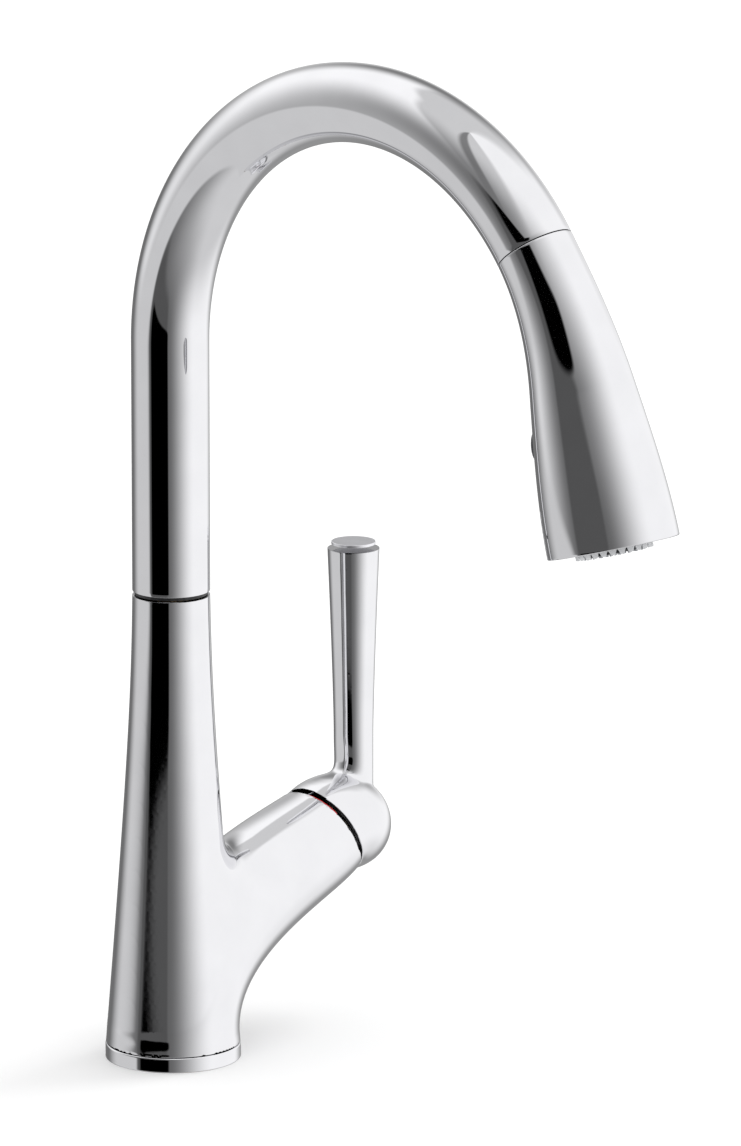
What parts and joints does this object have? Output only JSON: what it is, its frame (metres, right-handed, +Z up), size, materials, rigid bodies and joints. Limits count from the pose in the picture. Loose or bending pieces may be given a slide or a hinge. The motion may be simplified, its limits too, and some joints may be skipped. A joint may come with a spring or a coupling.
{
  "type": "pull-down kitchen faucet",
  "caption": "Pull-down kitchen faucet with a swivel gooseneck spout, a docked spray wand on a hose and a side lever valve, clamped in a deck hole.",
  "frame": {"origin": "centre of the base on the top of the deck, over the deck hole", "axes": "+Z up along the column, the spout reaches along -Y, and the valve arm and its lever stand on +X"},
  "size_m": [0.1415, 0.2882, 0.5045],
  "materials": {
    "chrome": "polished",
    "satin_chrome": "satin",
    "steel": "brushed",
    "brass": "machined",
    "magnet": "sintered",
    "rubber": "matte",
    "nozzle_rubber": "matte",
    "ceramic": "lapped, stands in for alumina ceramic",
    "white_plastic": "moulded",
    "grey_plastic": "moulded",
    "black_plastic": "moulded",
    "hose_braid": "woven nylon",
    "hot_red": "enamel",
    "cold_blue": "enamel"
  },
  "bodies": {
    "base": {"base_ring": "chrome", "base_gasket": "rubber", "mounting_shank": "brass", "rubber_washer": "rubber", "steel_washer": "steel", "mounting_nut": "brass", "clamp_screw_1": "steel", "clamp_screw_2": "steel", "faucet_body": "chrome", "hot_inlet_tube": "brass", "cold_inlet_tube": "brass", "outlet_tube": "brass", "cartridge_seal": "rubber", "cartridge_housing": "white_plastic", "fixed_disc": "ceramic", "cartridge_nut": "brass", "bonnet_dome": "chrome", "indicator_ring": "black_plastic", "hot_mark": "hot_red", "cold_mark": "cold_blue", "spout_pivot": "brass", "thrust_ring": "black_plastic", "spout_clip": "steel", "hose_guide": "white_plastic", "spray_hose_column": "hose_braid", "hose_lower_fitting": "brass"},
    "spout": {"spout_tube": "chrome", "dock_socket": "grey_plastic", "dock_magnet": "magnet", "spout_bush_lower": "white_plastic", "spout_bush_upper": "white_plastic", "spray_hose_spout": "hose_braid"},
    "hose_end": {"hose_ferrule": "steel", "hose_end_fitting": "brass"},
    "wand": {"wand_shell": "chrome", "wand_nose": "grey_plastic", "magnet_plate": "steel", "coupling_nut": "brass", "wand_core": "white_plastic", "filter_screen": "steel", "check_valve": "white_plastic", "diverter_housing": "white_plastic", "spray_face": "white_plastic", "face_plate": "grey_plastic", "face_lock_ring": "white_plastic", "nozzle_pad": "nozzle_rubber", "aerator_insert": "nozzle_rubber"},
    "spray_button": {"spray_button": "grey_plastic"},
    "valve_rotor": {"valve_rotor": "black_plastic", "stem_pin": "steel"},
    "mixing_disc": {"mixing_disc": "ceramic"},
    "handle": {"handle_lever": "chrome", "stem_adaptor": "brass", "handle_set_screw": "steel", "lever_cap": "satin_chrome", "stem_shield": "chrome", "valve_stem": "steel"}
  },
  "joints": [
    {"name": "spout_swivel", "type": "hinge", "parent": "base", "child": "spout", "pos_m": [0, 0, 0.1904], "axis": [0, 0, 1], "continuous": true},
    {"name": "wand_pull", "type": "slide", "parent": "spout", "child": "hose_end", "axis": [0, -0.5878, -0.809], "range_m": [0, 0.27], "stiffness_N_per_m": 10, "springref_m": -0.6},
    {"name": "wand_turn", "type": "hinge", "parent": "hose_end", "child": "wand", "pos_m": [0, -0.19537, 0.35448], "axis": [0, 0.5878, 0.809], "continuous": true},
    {"name": "button_press", "type": "slide", "parent": "wand", "child": "spray_button", "axis": [0, -0.9622, 0.2723], "range_m": [0, 0.0015], "stiffness_N_per_m": 800},
    {"name": "temperature", "type": "hinge", "parent": "base", "child": "valve_rotor", "pos_m": [0.06153, 0, 0.06435], "axis": [0.891, 0, 0.454], "range_deg": [-45, 45]},
    {"name": "lever_tilt", "type": "hinge", "parent": "valve_rotor", "child": "handle", "pos_m": [0.06153, 0, 0.06435], "axis": [0, 1, 0], "range_deg": [0, 20]},
    {"name": "disc_slide", "type": "slide", "parent": "valve_rotor", "child": "mixing_disc", "axis": [-0.454, 0, 0.891], "range_m": [0, 0.002]}
  ],
  "couplings": [
    {"joint": "disc_slide", "follows": "lever_tilt", "m_per_rad": 0.0055}
  ]
}
